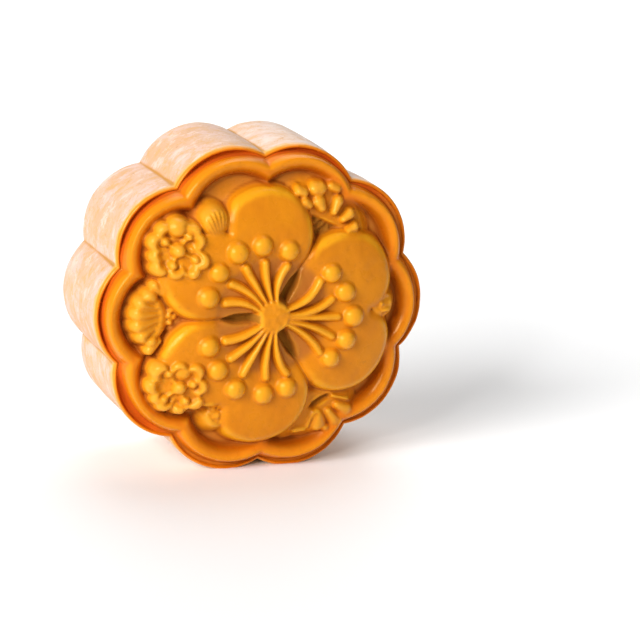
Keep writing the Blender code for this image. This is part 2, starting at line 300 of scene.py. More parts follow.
def ridge_side(x, y):
    """Two shares: of the ridge and what lies beyond it, and of its inner side near the foot."""
    r, off = ridge_place(x, y)
    inner = inside_arcs(RIDGE_INNER, r, off)
    crest = inside_arcs(RIDGE_CREST, r, off)
    down = smoothstep(0.2, 0.75, crest / np.maximum(crest - inner, 1e-6))
    return smoothstep(0.5, -0.5, inner), down * (crest > 0) * smoothstep(1.2, 0.2, inner)


def floor_height(r):
    """The domed floor, which levels off in a tray along the ridge."""
    return soft_max(3.4 - 4.4 * (r / 31.0) ** 4, np.full_like(r, TRAY_LEVEL), 0.8)


# The large flower's middle, and the hub's place from there
FLOWER_AT = (0.25, -0.42)
HUB = (-0.3, 0.45)
HUB_RADIUS = 3.7
HUB_TOP = 8.55

# Each stamen: the angle at which it leaves the hub, its angle half way, its tip's distance and
# angle, and its knob's distance, angle and radius
STAMENS = [
    (25.0, 27.0, 14.1, 37.0, 16.4, 35.8, 2.2),
    (7.0, 7.0, 14.8, 14.8, 17.4, 16.7, 2.3),
    (-7.0, -2.2, 15.9, -2.4, 18.7, -2.4, 2.35),
    (-21.0, -16.0, 15.5, -20.4, 18.2, -19.7, 2.3),
    (-33.0, -31.0, 15.0, -38.4, 17.0, -37.0, 2.25),
    (160.0, 151.5, 12.8, 160.4, 16.3, 160.3, 2.5),
    (142.0, 134.5, 13.9, 140.3, 17.1, 139.5, 2.2),
    (119.0, 120.5, 14.5, 120.0, 17.7, 119.6, 2.45),
    (98.0, 103.5, 13.8, 100.9, 17.0, 100.5, 2.35),
    (77.0, 86.0, 12.9, 77.2, 15.7, 78.5, 2.35),
    (217.0, 209.0, 12.9, 203.2, 16.1, 201.6, 2.4),
    (233.0, 225.0, 14.1, 221.9, 17.2, 221.9, 2.35),
    (248.0, 240.5, 15.3, 241.4, 18.2, 241.9, 2.3),
    (264.0, 259.5, 14.7, 263.5, 17.8, 263.2, 2.35),
    (279.0, 276.0, 14.3, 283.8, 16.9, 281.6, 2.3),
]


def petal_outline():
    """A heart on +X: two lobes that meet in a notch, running in to a foot at the hub."""
    x, y, radius, tight = 17.4, 7.2, 11.9, 7.0
    start, end = math.radians(-5), math.radians(160)
    tight_x = x + (radius - tight) * math.cos(start)
    tight_y = y + (radius - tight) * math.sin(start)
    notch = math.asin(-tight_y / tight)
    half = []
    for a in np.linspace(notch, start, 10)[:-1]:
        half.append((tight_x + tight * math.cos(a), tight_y + tight * math.sin(a)))
    for a in np.linspace(start, end, 34):
        half.append((x + radius * math.cos(a), y + radius * math.sin(a)))
    half.append((2.5, 2.5))
    return half + [(px, -py) for px, py in reversed(half)][:-1]


def petals_inside(x, y):
    """How far inside the three large petals a point is."""
    r, off = folded(x, y, 3)
    return inside_polygon(r * np.cos(off), r * np.sin(off), petal_outline())


def large_flower(x, y):
    """The plateau of the three large petals, and the share of the slots between them."""
    x, y = (x - FLOWER_AT[0]) / 1.015, y - FLOWER_AT[1]
    r, off = folded(x, y, 3)
    angle = np.degrees(np.arctan2(y, x)) % 360

    # The petals are drawn in at their lower right edges, the upper one most
    top = smoothstep(56, 62, angle) * smoothstep(124, 118, angle)
    right = np.maximum(smoothstep(62, 56, angle), smoothstep(298, 304, angle))
    cut = (0.8 + 0.9 * top - 0.35 * right) * smoothstep(16.0, 24.0, r)
    inside = np.minimum(petals_inside(x, y), petals_inside(x - 0.8 * cut, y + 0.6 * cut))

    # Two of them are cut back beside their notches, where a small flower lies
    for turn, hand in ((120, 1), (240, -1)):
        side = hand * (angle - turn)
        notch = smoothstep(-0.5, 2.5, side) * smoothstep(21.0, 16.0, side)
        inside = inside - 3.2 * smoothstep(23.5, 27.0, r) * notch
    inside = soft_max(inside, 13.0 - r, 0.8)
    dip = 1.0 * smoothstep(17.5, 11.5, r)
    height = 7.3 - 3.3 * (r / 30.0) ** 4 - dip + edge_profile(inside - 0.1, 2.2, 1.9)

    across = r * np.sin(math.pi / 3 - np.abs(off))
    along = r * np.cos(math.pi / 3 - np.abs(off))
    half = 1.15 - 0.95 * smoothstep(8.0, 13.0, along)
    depth = 2.5 - 1.8 * smoothstep(10.0, 13.2, along)
    slot = smoothstep(-0.12, 0.42, half - across)
    dark = slot * smoothstep(13.2, 11.5, along) * smoothstep(3.4, 3.9, r)
    return height - depth * slot * smoothstep(19.0, 16.5, along), dark


def hub_and_stamens(x, y):
    """The hub in the middle of the large flower, with its bent stamens and their knobs."""
    x, y = (x - FLOWER_AT[0]) / 1.02, y - FLOWER_AT[1]
    from_hub = np.hypot(x - HUB[0], y - HUB[1])
    height = HUB_TOP + edge_profile(HUB_RADIUS - from_hub, 0.9)
    for leave, middle, tip_at, tip, knob_at, knob, radius in STAMENS:
        ux, uy = polar(3.2, leave)
        root = (HUB[0] + ux, HUB[1] + uy)
        curve = bent(root, polar(tip_at * 0.6, middle), polar(tip_at - 0.8, tip))
        stamen = rod(x, y, curve, (0.52, 0.85, 1.05), (8.45, 8.4, 7.95), 1.5)
        height = soft_max(height, stamen, 0.35)
        knob_top = HIGHEST - 0.1 * (18 - knob_at)
        height = soft_max(height, ball(x, y, polar(knob_at, knob), radius * 1.06, knob_top), 0.35)
    return height


# The two small flowers, from the flower's own middle: the ruffles of the edge in order round it
# with their radii, a boss with its radius and lift, the creases between the petals, and its four
# stamens' tips. Heights are above the flower's tilted plane.
UPPER_FLOWER = dict(
    at=polar(27.3, 144),
    middle=(-0.2, -0.1),
    ruffles=[(0.6, 4.8, 2.3), (-3.2, 4.2, 2.0), (-5.1, 1.7, 2.0), (-5.0, -1.6, 1.7),
             (-4.3, -4.3, 1.9), (-0.9, -5.0, 2.0), (2.9, -4.9, 2.0), (5.1, -2.6, 2.0),
             (4.4, 2.2, 1.9), (3.7, 4.4, 1.6)],
    bosses=[((-0.3, 4.9), 2.1, 0.45)],
    creases=[((1.9, 6.0), (0.9, 2.9)), ((2.2, -7.0), (1.6, -3.2)), ((7.2, -0.2), (3.6, 0.0)),
             ((-3.0, -6.4), (-2.4, -3.9)), ((-1.9, 5.6), (-2.0, 3.2))],
    tips=[(2.2, 3.0), (-3.0, 1.8), (-1.5, -3.4), (3.5, -2.1)],
)
LOWER_FLOWER = dict(
    at=polar(27.3, 216),
    middle=(0.6, 0.3),
    ruffles=[(-4.0, 4.4, 2.1), (-4.9, 0.7, 2.2), (-4.2, -2.4, 1.6), (-2.6, -3.9, 1.9),
             (1.1, -4.6, 2.0), (4.6, -3.4, 2.0), (5.6, 0.4, 1.9), (4.3, 4.2, 2.0),
             (0.4, 5.0, 1.9)],
    bosses=[((1.3, 3.9), 1.8, -0.1)],
    creases=[((-2.0, 6.4), (-1.6, 3.6)), ((-6.6, 2.6), (-4.4, 1.7)), ((2.6, -6.0), (1.5, -3.0)),
             ((-0.8, -6.0), (-0.2, -3.6)), ((7.2, -2.0), (4.6, -2.1))],
    tips=[(-1.9, 3.7), (3.6, 1.1), (-2.6, -2.5), (2.2, -3.0)],
)


def drawn_in(shape, share, size):
    """A small flower's ruffles, drawn in towards its middle and made smaller."""
    mx, my = shape["middle"]
    discs = []
    for px, py, radius in shape["ruffles"]:
        discs.append((mx + share * (px - mx), my + share * (py - my), size * radius))
    return discs, [(px, py) for px, py, _ in discs]


def small_flower(x, y, shape):
    """A tilted cup with a ruffled edge, a hollow in each petal, a knob and four short stamens."""
    ox, oy = shape["at"]
    u, v = x - ox, y - oy
    near = np.hypot(u, v) < 11.0
    height = np.full(x.shape, BELOW)
    u, v = u[near], v[near]
    plane = 6.5 - 0.27 * (u * ox + v * oy) / math.hypot(ox, oy)
    discs, outline = drawn_in(shape, 0.93, 1.0)
    body = with_discs(inside_polygon(u, v, outline) + 0.9, u, v, discs, 0.4, 0.05)
    local = edge_profile(body, 1.3, 1.6)
    discs, outline = drawn_in(shape, 0.64, 0.68)
    hollow = with_discs(inside_polygon(u, v, outline), u, v, discs, 0.2)
    local = local - 1.9 * smoothstep(-0.85, 1.0, hollow)
    for start, end in shape["creases"]:
        local = local - 0.7 * np.exp(-((to_segment(u, v, start, end)[1] / 0.42) ** 2))
    for at, radius, lift in shape["bosses"]:
        local = soft_max(local, ball(u, v, at, radius, lift, radius * 0.9), 0.25)
    for tip in shape["tips"]:
        stamen = rod(u, v, [shape["middle"], tip], (0.55, 0.45), (-0.5, -0.7), 1.0)
        local = soft_max(local, stamen, 0.15)
        local = soft_max(local, ball(u, v, tip, 1.0, 0.1, 1.3), 0.15)
    local = soft_max(local, ball(u, v, shape["middle"], 1.55, 0.9, 2.0), 0.15)
    height[near] = np.maximum(local + plane, BELOW)
    return height


# The fan on the left, from its own middle: the scallops of its edge with their radii, the grooves
# that run in from them, a leaf on either side, and the seeds at its foot
SHELL_X = -25.3
SHELL_TIPS = [(-2.9, 5.0, 1.6), (-4.6, 3.6, 1.65), (-5.3, 1.2, 1.7), (-5.2, -1.4, 1.65),
              (-4.2, -3.8, 1.6), (-2.5, -5.1, 1.4)]
SHELL_GROOVES = [((-4.4, 4.6), (-1.6, 3.3)), ((-4.8, 2.3), (-0.9, 1.8)),
                 ((-5.0, -0.2), (-0.7, 0.2)), ((-4.6, -2.6), (-0.9, -1.3)),
                 ((-3.5, -4.4), (-1.4, -2.8))]
SHELL_FOOT_X = -23.95
SHELL_LEAVES = (((0.2, 5.6), (-1.6, 7.6)), ((-0.3, -5.2), (-2.6, -7.2)))
SHELL_SEEDS = ((2.2, 1.7), (3.0, 0.2), (2.1, -1.1), (1.9, 0.5))


def plain_fan(x, y):
    """The fan on the left: a fat scalloped shell with its leaves and seeds."""
    u, v = x - SHELL_X, y
    body = with_discs(4.2 - np.hypot((u + 2.1), v * 0.80), u, v, SHELL_TIPS, 0.3)
    height = 4.55 - 0.035 * (u + 5.0) ** 2 + edge_profile(body, 1.9)
    for px, py, radius in SHELL_TIPS:
        height = soft_max(height, ball(u, v, (px + 0.2, py), radius, 4.75, 1.3), 0.4)
    for start, end in SHELL_GROOVES:
        depth = 0.3 + 0.5 * smoothstep(-4.6, -2.0, u)
        height = height - depth * np.exp(-((to_segment(u, v, start, end)[1] / 0.55) ** 2))
    height = np.maximum(height, BELOW)
    for leaf in SHELL_LEAVES:
        height = soft_max(height, rod(u, v, leaf, (0.8, 1.3), (4.0, 4.4), 2.0), 0.2)
    for at in SHELL_SEEDS:
        height = soft_max(height, ball(u, v, at, 0.7, 3.7, 0.9), 0.2)
    return height


def fan_crease(x, y):
    """The upright crease between the left fan and its foot."""
    across = (x - SHELL_FOOT_X) / 0.42
    return 1.6 * np.exp(-(across**2)) * smoothstep(4.6, 3.6, np.abs(y))


# The two fans with drops, from their own middles: each drop's outer and inner end with its half
# widths, the bumps along the edge with their half widths and tops, the low ridges, the pit at the
# foot with the leaves in it, and the outline of the bed that carries them
UPPER_FAN = dict(
    at=(13.3, 20.75),
    rise=2.1,
    drops=[((-5.3, 4.5), (-4.3, 3.8), 1.3, 1.1), ((-1.7, 4.3), (-1.1, 3.0), 1.75, 1.25),
           ((3.1, 4.2), (1.9, 1.9), 1.45, 1.0), ((5.9, 1.2), (4.2, 0.1), 1.35, 0.95),
           ((7.0, -1.8), (5.2, -2.5), 1.2, 0.85)],
    bumps=[((-6.6, 6.9), (-5.4, 6.6), 1.2, 0.9), ((-2.6, 7.3), (-1.2, 7.3), 1.6, 1.1),
           ((1.6, 7.6), (3.0, 7.0), 1.3, 0.7)],
    ridges=[],
    pit=[(-3.4, 1.4), (4.3, -2.4), (3.8, -5.5), (-2.2, -6.0)],
    leaves=[((-2.0, -2.0), (-0.3, -1.1)), ((-0.9, -3.1), (0.8, -2.0)), ((-2.4, -0.6), (-1.4, 0.0)),
            ((1.0, -4.0), (2.6, -2.9))],
    bed=[(-8.0, 6.6), (-5.0, 8.0), (-1.0, 8.6), (2.0, 8.6), (5.0, 7.6), (7.0, 5.0), (8.4, 2.4),
         (9.2, 0.0), (10.0, -3.0), (8.0, -6.0), (-4.0, -6.0), (-9.0, 2.0)],
)
LOWER_FAN = dict(
    at=(13.3, -22.55),
    rise=1.5,
    drops=[((7.1, -2.1), (4.4, -0.6), 1.6, 1.1), ((4.3, -4.6), (2.3, -2.0), 1.5, 1.0),
           ((0.1, -5.0), (-0.1, -3.3), 1.9, 1.3)],
    bumps=[((-5.6, -6.2), (-3.4, -6.0), 0.9, 0.0), ((1.9, -6.1), (2.2, -6.2), 1.1, 0.5),
           ((5.3, -5.0), (5.6, -4.8), 1.0, 0.5)],
    ridges=[bent((-2.6, -5.4), (-0.7, -1.7), (1.7, -4.9)), [(2.4, 2.0), (6.9, 0.6)]],
    pit=[(-2.6, -1.0), (-1.6, 0.5), (0.2, 1.6), (2.8, 2.4), (2.6, 1.3), (0.5, 0.2), (-1.2, -1.0)],
    leaves=[],
    bed=[(-8.4, -6.9), (-6.6, -6.6), (-5.0, -6.2), (-2.6, -6.9), (-0.6, -7.2), (0.8, -7.0),
         (2.4, -6.2), (5.0, -6.0), (7.4, -4.8), (8.8, -2.6), (8.6, -0.2), (7.6, 1.8),
         (3.0, 3.4), (-3.0, 3.4), (-9.0, -2.0)],
)


def fan_bed(x, y):
    """The domed level from which a fan with drops rises."""
    return 4.0 - 2.5 * (np.hypot(x, y) / 32.0) ** 4


def drop_fan(x, y, shape):
    """A fan with drops, bumps along its edge and a leafy pit at its foot; and the pit's share."""
    ox, oy = shape["at"]
    u, v = x - ox, y - oy
    near = np.hypot(u, v) < 12.0
    height = np.full(x.shape, BELOW)
    pit = np.zeros(x.shape)
    bed = fan_bed(x[near], y[near])
    u, v = u[near], v[near]
    inside = inside_polygon(u, v, shape["bed"])
    local = 1.6 * (smoothstep(-1.5, 0.8, inside) - 1) - 1.6 * np.maximum(-1.5 - inside, 0.0)
    for start, end, radius, top in shape["bumps"]:
        bump = rod(u, v, [start, end], (radius, radius), (top + 0.9, top + 0.9), 1.9)
        local = soft_max(local, bump, 0.25)
    for ridge in shape["ridges"]:
        local = soft_max(local, rod(u, v, ridge, (0.55, 0.55), (0.9, 0.9), 1.0), 0.3)
    rise = shape["rise"]
    for start, end, first, last in shape["drops"]:
        drop = rod(u, v, [start, end], (first, last), (rise, rise - 0.2), rise)
        local = soft_max(local, drop, 0.2)
    inside = smoothstep(-0.25, 0.55, inside_polygon(u, v, shape["pit"]))
    floor = np.full(u.shape, -1.7)
    for leaf in shape["leaves"]:
        floor = soft_max(floor, rod(u, v, leaf, (0.45, 0.5), (-0.8, -0.8), 0.8), 0.2)
    local = local + inside * (floor - local) * (local > floor)
    height[near] = np.maximum(local + bed, BELOW)
    pit[near] = inside
    return height, pit


# The buds behind the petals' notches: middle, radius, rise, the height of the top, and the point
# that its fine ridges fan out from, where it isn't crumbled
BUDS = [
    ((-13.4, 21.7), 3.3, 1.9, 6.35, (-11.4, 15.2)),
    ((-11.6, -23.4), 2.9, 1.3, 4.8, None),
    ((27.4, 0.4), 2.8, 1.3, 5.0, None),
]


def bud(x, y, at, radius, rise, top, pole):
    """A round bud, finely ridged or crumbled."""
    u, v = x - at[0], y - at[1]
    d = np.hypot(u, v)
    height = np.maximum(top - 0.16 * u + edge_profile(radius - d, 2.4, rise), BELOW)
    if pole:
        sweep = np.arctan2(y - pole[1], x - pole[0]) - math.atan2(at[1] - pole[1], at[0] - pole[0])
        return height + 0.26 * np.sin(sweep * 52.0) * smoothstep(radius, radius - 0.8, d)
    flat = np.column_stack([x, y, np.zeros_like(x)])
    crumbs = np.maximum(value_noise(flat, 0.9, 31), -0.2) + 0.5 * value_noise(flat, 2.0, 32)
    on_bud = smoothstep(radius + 0.4, radius - 0.6, d)
    return height + (0.95 * crumbs - 0.3) * on_bud * smoothstep(-2.4, -0.6, 0.8 * u + 0.6 * v)


def face_height(x, y):
    """The moulded face's level, painted shade for slots and pits, and the share of small motifs.

    That share is 1 on a small flower and falls below 0 on the petals between the stamens.
    """
    r, off = folded(x, y, LOBES)
    crest = inside_arcs(RIDGE_CREST, r - shifted(np.arctan2(y, x), RIDGE_SHIFT), off)
    floor = floor_height(r) - 6.0 * smoothstep(0.3, -0.4, crest)
    flat = np.column_stack([x, y, np.zeros_like(x)])
    rough = 0.12 * value_noise(flat, 2.3, 21) * smoothstep(33.5, 31.5, r)
    height = soft_max(floor, ridge_height(x, y), 0.4) + rough - fan_crease(x, y)
    motif = np.zeros(x.shape)
    pits = np.zeros(x.shape)

    def lay(piece, share, fillet):
        """Lays a motif on the face, and marks where it shows."""
        nonlocal height, motif
        motif = np.where(piece > height, share, motif)
        height = soft_max(height, piece, fillet)

    for shape in BUDS:
        lay(bud(x, y, *shape), 0.7, 0.3)
    for shape in (UPPER_FAN, LOWER_FAN):
        fan, pit = drop_fan(x, y, shape)
        height = np.where(pit > 0, height + pit * (fan - height), height)
        lay(fan, smoothstep(0.3, 1.5, fan - fan_bed(x, y)), 0.35)
        pits = np.maximum(pits, 0.8 * pit)
    lay(plain_fan(x, y), 1.0, 0.3)
    petals, dark = large_flower(x, y)
    dark = np.maximum(dark, pits * (height > petals))
    dark = dark * ((petals > height - 0.3) | (pits > 0))
    # A share below 0 marks the petals near the hub, where painted shade falls between the stamens
    lay(petals, -0.5 * smoothstep(15.0, 12.0, r), 0.35)
    hub_lumps = 0.12 * value_noise(flat, 0.9, 24) * smoothstep(4.2, 3.4, r)
    lay(hub_and_stamens(x, y) + hub_lumps, 0.4, 0.35)
    for shape in (UPPER_FLOWER, LOWER_FLOWER):
        lay(small_flower(x, y, shape), 1.0, 0.3)
    uneven = (0.10 * value_noise(flat, 9.0, 3)
              + 0.09 * value_noise(flat, 3.1, 5)
              + 0.05 * value_noise(flat, 1.3, 6))
    return np.minimum(height + uneven, HIGHEST), dark, motif


def blurred(image, sigma):
    """A grid of values smoothed by a Gaussian, sigma in cells."""
    ky = np.fft.fftfreq(image.shape[0])[:, None]
    kx = np.fft.rfftfreq(image.shape[1])[None, :]
    gauss = np.exp(-2 * (math.pi * sigma) ** 2 * (kx**2 + ky**2))
    return np.fft.irfft2(np.fft.rfft2(image) * gauss, s=image.shape)


def sampled(image, x, y):
    """A grid's values at points, interpolated."""
    px = np.clip((x + GRID_HALF) / CELL, 0, image.shape[1] - 1.001)
    py = np.clip((y + GRID_HALF) / CELL, 0, image.shape[0] - 1.001)
    ix, iy = px.astype(int), py.astype(int)
    fx, fy = px - ix, py - iy
    top = image[iy, ix] * (1 - fx) + image[iy, ix + 1] * fx
    low = image[iy + 1, ix] * (1 - fx) + image[iy + 1, ix + 1] * fx
    return top * (1 - fy) + low * fy


def face_at(x, y):
    """The face's level at points, and the values that colour it there."""
    axis = np.arange(-GRID_HALF, GRID_HALF + CELL / 2, CELL)
    gx, gy = np.meshgrid(axis, axis)
    layers = face_height(gx.ravel(), gy.ravel())
    level, dark, motif = (layer.reshape(gx.shape) for layer in layers)

    def read(image, width):
        """A grid's values at the points, once smoothed over a width."""
        return sampled(blurred(image, width / CELL), x, y)

    # Beyond the lip the grid runs on level, so that the drop of the wall darkens nothing
    z = read(level, 0.18)
    r, off = folded(gx, gy, LOBES)
    angle = np.arctan2(gy, gx)
    lip = arc_reach((LOBE_CENTRE, LIP_INNER + 0.1), off) + shifted(angle, LIP_SHIFT)
    level = np.where(r > lip, lip_level(angle), level)
    ring, flank = ridge_side(x, y)
    return z, dict(
        crease=np.clip(read(level, 0.4) - z, -1, 1),
        hollow=np.clip(read(level, 0.9) - z, -2, 2),
        deep=np.clip(read(level, 2.4) - z, -3, 3),
        slot=np.clip(read(dark, 0.1), 0, 1),
        motif=np.clip(read(motif, 0.2), -1, 1),
        groove=groove_depth(x, y, z),
        flank=flank * smoothstep(2.6, 1.6, z),
        ring=ring * (z < 3.0),
    )


def around(count):
    """Even angles round the cake."""
    return 2 * math.pi * np.arange(count) / count


def row(reach, level=0.0, region=0.0):
    """A row of points round the cake: their x, y, level and region."""
    count = len(reach)
    x, y = reach * np.cos(around(count)), reach * np.sin(around(count))
    return x, y, np.full(count, level), np.full(count, region)


def face_rows():
    """The face's rows from the middle to the lip."""
    reaches = [np.zeros(1)]
    r = SPACING
    while r < 27.5:
        divide = 8 if r < 4.0 else 4 if r < 8.0 else 2 if r < 16.0 else 1
        reaches.append(np.full(COLUMNS // divide, r))
        r += SPACING
    angle = around(COLUMNS)
    off = off_axis(angle)
    shift = shifted(angle, RIDGE_SHIFT)
    lip = arc_reach((LOBE_CENTRE, LIP_INNER), off) + shifted(angle, LIP_SHIFT)
    outer = np.minimum(arc_reach(RIDGE_OUTER, off) + shift - 0.3, lip - 0.3)
    crest = arc_reach(RIDGE_CREST, off) + shift
    inner = arc_reach(RIDGE_INNER, off) + shift
    bands = ((reaches[-1], inner, 12), (inner, crest, 11), (crest, outer, 10), (outer, lip, 4))
    for a, b, steps in bands:
        for i in range(1, steps + 1):
            reaches.append(a + (b - a) * i / steps)
    return [row(reach) for reach in reaches]


def wall_and_base_rows():
    """The rows of the lip, the wall and the base, down to the middle of the base."""
    rows = []
    angle = around(COLUMNS)
    off = off_axis(angle)
    shift = shifted(angle, LIP_SHIFT)
    rim = np.column_stack([WIDTH / 2 * np.cos(angle), WIDTH / 2 * np.sin(angle), np.zeros(COLUMNS)])
    lumps = 0.13 * value_noise(rim, 2.6, 41) + 0.06 * value_noise(rim, 1.1, 42)
    sideways = 0.12 * lumps / 0.19
    for radius, level, region in LIP_ROWS:
        # Only the top of the lip wanders sideways, and its lowest row not even in height
        lumpy = radius + sideways if radius < 15 else radius
        reach = arc_reach((LOBE_CENTRE, lumpy), off) + shift
        rows.append(row(reach, lip_level(angle) + level + lumps * (level > -0.7), region))
    for depth in WALL_TOP_ROWS + tuple(np.linspace(5.6, WALL_DEPTH - 1.1, 12)):
        bulge = 0.10 * math.sin(math.pi * depth / WALL_DEPTH)
        reach = arc_reach(WALL, off) + bulge + shift * smoothstep(9.0, 2.0, depth)
        rows.append(row(reach, -depth, min(1.0, 0.62 + 0.15 * (depth - WALL_TOP_ROWS[0]))))
    edge = arc_reach(WALL, off[::2])
    for inset, height in BASE_EDGE_ROWS:
        rows.append(row(edge - inset, -WALL_DEPTH + height, 2.0 - height))
    edge = edge - BASE_EDGE_ROWS[-1][0]
    for share, divide in BASE_ROWS:
        scalloped = edge[::divide] * share
        reach = scalloped if share > 0.6 else 34.0 * share * np.ones(len(scalloped))
        rows.append(row(reach, -WALL_DEPTH, 2.0))
    rows.append(row(np.zeros(1), -WALL_DEPTH, 2.0))
    return rows


def build_cake():
    """One closed mesh: its points, the number in each row, and the values that colour them."""
    face = face_rows()
    rows = face + wall_and_base_rows()
    counts = [len(x) for x, _, _, _ in rows[1:-1]]
    x, y, z, region = (np.concatenate(column) for column in zip(*rows))
    on_face = sum(len(x) for x, _, _, _ in face)
    z[:on_face], values = face_at(x[:on_face], y[:on_face])
    for name, value in values.items():
        beyond = 1.0 if name == "ring" else 0.0
        values[name] = np.concatenate([value, np.full(len(x) - on_face, beyond)])
    points = np.column_stack([x, y, z])

    # The valleys between the wall's lobes are browned, and painted sheen makes the top lobes palest
    angle = np.arctan2(points[:, 1], points[:, 0])
    depth = -points[:, 2]
    from_valley = (HALF_LOBE - np.abs(off_axis(angle))) * VALLEY_RADIUS
    width = 0.4 + 0.2 * smoothstep(9.0, 2.5, depth)
    fading = 1.1 - 0.4 * smoothstep(3.0, 20.0, depth) + 0.35 * value_noise(points, 3.0, 51)
    valley = np.exp(-((from_valley / width) ** 2)) * (region > 0.3) * np.clip(fading, 0, 1)
    crown = np.exp(-(((angle - math.radians(66)) / math.radians(24)) ** 2))
    values.update(region=region, valley=valley, crown=crown)

    # The wall is a little uneven, as pressed dough is
    on_wall = smoothstep(0.0, 1.0, region) * smoothstep(2.0, 1.4, region)
    r = np.hypot(points[:, 0], points[:, 1])
    push = 0.16 * value_noise(points, 9.0, 11) + 0.06 * value_noise(points * (1, 1, 0.35), 2.4, 12)
    points[:, :2] *= (1 + on_wall * push / np.maximum(r, 1.0))[:, None]
    points[:, 1] = np.maximum(points[:, 1], -RESTING_HEIGHT)
    return points, counts, values


def stitched(counts):
    """Faces between a first point, rows of points and a last point.

    A row may have half or twice the columns of the row before.
    """
    faces = []
    start = 1
    first = counts[0]
    for j in range(first):
        faces.append((0, start + j, start + (j + 1) % first))
    for a, b in zip(counts, counts[1:]):
        nxt = start + a
        for j in range(min(a, b)):
            k = (j + 1) % min(a, b)
            m, n, o = 2 * j, 2 * j + 1, (2 * j + 2) % max(a, b)
            if a == b:
                faces.append((start + j, nxt + j, nxt + k, start + k))
            elif a < b:
                faces.append((start + j, nxt + m, nxt + n))
                faces.append((start + j, nxt + n, start + k))
                faces.append((start + k, nxt + n, nxt + o))
            else:
                faces.append((start + m, nxt + j, start + n))
                faces.append((start + n, nxt + j, nxt + k))
                faces.append((start + n, nxt + k, start + o))
        start = nxt
    last = counts[-1]
    end = start + last
    for j in range(last):
        faces.append((start + j, end, start + (j + 1) % last))
    return faces


def make_cake():
    """The standing cake, with the values that colour it as attributes of its points."""
    points, counts, values = build_cake()
    standing = np.column_stack([
        points[:, 0] * MM,
        (FACE_LEVEL_Y - points[:, 2]) * MM,
        (points[:, 1] + RESTING_HEIGHT) * MM,
    ])
    mesh = bpy.data.meshes.new("mooncake_crust")
    mesh.from_pydata(standing.tolist(), [], stitched(counts))
    mesh.update()
    for name, value in values.items():
        attribute = mesh.attributes.new(name, "FLOAT", "POINT")
        attribute.data.foreach_set("value", value.astype(np.float32))
    mesh.shade_smooth()
    cake = bpy.data.objects.new("mooncake_crust", mesh)
    bpy.context.scene.collection.objects.link(cake)
    return cake


# The crust's colours: glaze in two shades, on the ridge and on the small motifs, a painted
# highlight on the edges, and painted shade in the recesses, hollows, creases, slots and groove
GLAZE = (0.65, 0.212, 0.004, 1)
GLAZE_DARK = (0.60, 0.182, 0.004, 1)
RIDGE = (0.66, 0.154, 0.002, 1)
# Painted highlight: lighter, yellower glaze on the convex edges
EDGE_HIGHLIGHT = (0.75, 0.315, 0.008, 1)
MOTIF = (0.71, 0.262, 0.010, 1)
# Painted highlight on the small motifs' convex edges
MOTIF_EDGE_HIGHLIGHT = (0.74, 0.31, 0.022, 1)
# Painted shade between the stamens near the hub
SHADE_BETWEEN_STAMENS = (0.39, 0.118, 0.016, 1)
# Painted shade in the recesses, the trays most
RECESS_SHADE = (0.62, 0.206, 0.021, 1)
# Painted shade in the hollows
HOLLOW_SHADE = (0.38, 0.080, 0.002, 1)
# Painted shade in the creases
CREASE_SHADE = (0.28, 0.05, 0.001, 1)
# Painted shade on the ridge's inner side near its foot
RIDGE_FOOT_SHADE = (0.34, 0.066, 0.002, 1)
# Painted shade deep in the open groove behind the ridge
GROOVE_SHADE = (0.56, 0.082, 0.002, 1)
# Painted shade in the slots between the petals and in the fans' pits
SLOT_SHADE = (0.28, 0.11, 0.010, 1)
SPECK = (0.42, 0.13, 0.01, 1)
LIP = (0.78, 0.30, 0.025, 1)
WALL_EDGE = (0.82, 0.42, 0.085, 1)

# The wall is pale and hardly glazed, and the base is baked brown
WALL_PALE = (0.69, 0.445, 0.315, 1)
WALL_TAN = (0.66, 0.385, 0.225, 1)
BLOTCH = (0.72, 0.485, 0.41, 1)
STREAK_PALE = (0.78, 0.56, 0.46, 1)
STREAK_BROWN = (0.68, 0.37, 0.14, 1)
# Painted sheen: the lobes at the top of the wall are paler
CROWN_SHEEN = (0.80, 0.67, 0.60, 1)
VEIN = (0.66, 0.36, 0.12, 1)
VALLEY = (0.54, 0.25, 0.050, 1)
BASE_DARK = (0.44, 0.165, 0.034, 1)
BASE_BROWN = (0.56, 0.25, 0.070, 1)
BASE_BURNT = (0.35, 0.115, 0.021, 1)
BASE_STREAK = (0.66, 0.36, 0.15, 1)


